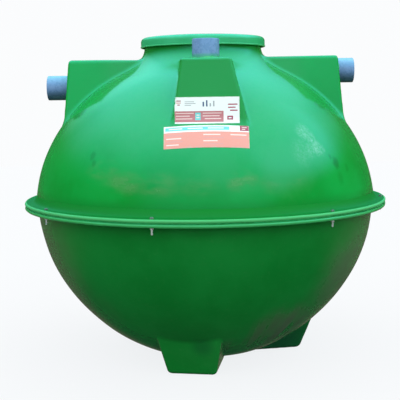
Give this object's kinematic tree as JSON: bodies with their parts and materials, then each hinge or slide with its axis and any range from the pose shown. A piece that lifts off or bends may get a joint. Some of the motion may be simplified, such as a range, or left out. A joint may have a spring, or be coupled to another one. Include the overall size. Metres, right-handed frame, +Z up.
{
  "type": "fiberglass septic tank",
  "caption": "Globe-shaped fibreglass septic tank in two bolted half shells on three moulded feet, with a lift-off manhole lid, an inlet, an outlet and a vent pipe.",
  "frame": {"origin": "on the tank's vertical axis, on the floor under the feet", "axes": "+Z up, +X towards the inlet pipe, -X towards the outlet pipe, -Y towards the front with the vent pipe"},
  "size_m": [1.69, 1.69, 1.4985],
  "materials": {
    "dome_gelcoat": "glossy green gelcoat over glass fibre laminate, dusty",
    "bowl_gelcoat": "green gelcoat over glass fibre laminate, dull with dust and wipe marks",
    "lid_gelcoat": "satin green gelcoat",
    "pvc_blue": "blue grey PVC pipe",
    "seal_sealant": "dark sealant",
    "bolt_zinc": "dull zinc-plated steel",
    "label_film": "printed adhesive film, without lettering"
  },
  "bodies": {
    "tank": {"upper_shell": "dome_gelcoat", "lower_shell": "bowl_gelcoat", "joint_seal": "seal_sealant", "inlet_pipe": "pvc_blue", "outlet_pipe": "pvc_blue", "vent_pipe": "pvc_blue", "flange_bolt_1": "bolt_zinc", "flange_bolt_2": "bolt_zinc", "flange_bolt_3": "bolt_zinc", "flange_bolt_4": "bolt_zinc", "flange_bolt_5": "bolt_zinc", "flange_bolt_6": "bolt_zinc", "flange_bolt_7": "bolt_zinc", "flange_bolt_8": "bolt_zinc", "flange_nut_1": "bolt_zinc", "flange_nut_2": "bolt_zinc", "flange_nut_3": "bolt_zinc", "flange_nut_4": "bolt_zinc", "flange_nut_5": "bolt_zinc", "flange_nut_6": "bolt_zinc", "flange_nut_7": "bolt_zinc", "flange_nut_8": "bolt_zinc"},
    "lid": {"manhole_lid": "lid_gelcoat"}
  },
  "joints": [
    {"name": "lid_lift", "type": "slide", "parent": "tank", "child": "lid", "axis": [0, 0, 1], "range_m": [0, 0.5]}
  ]
}
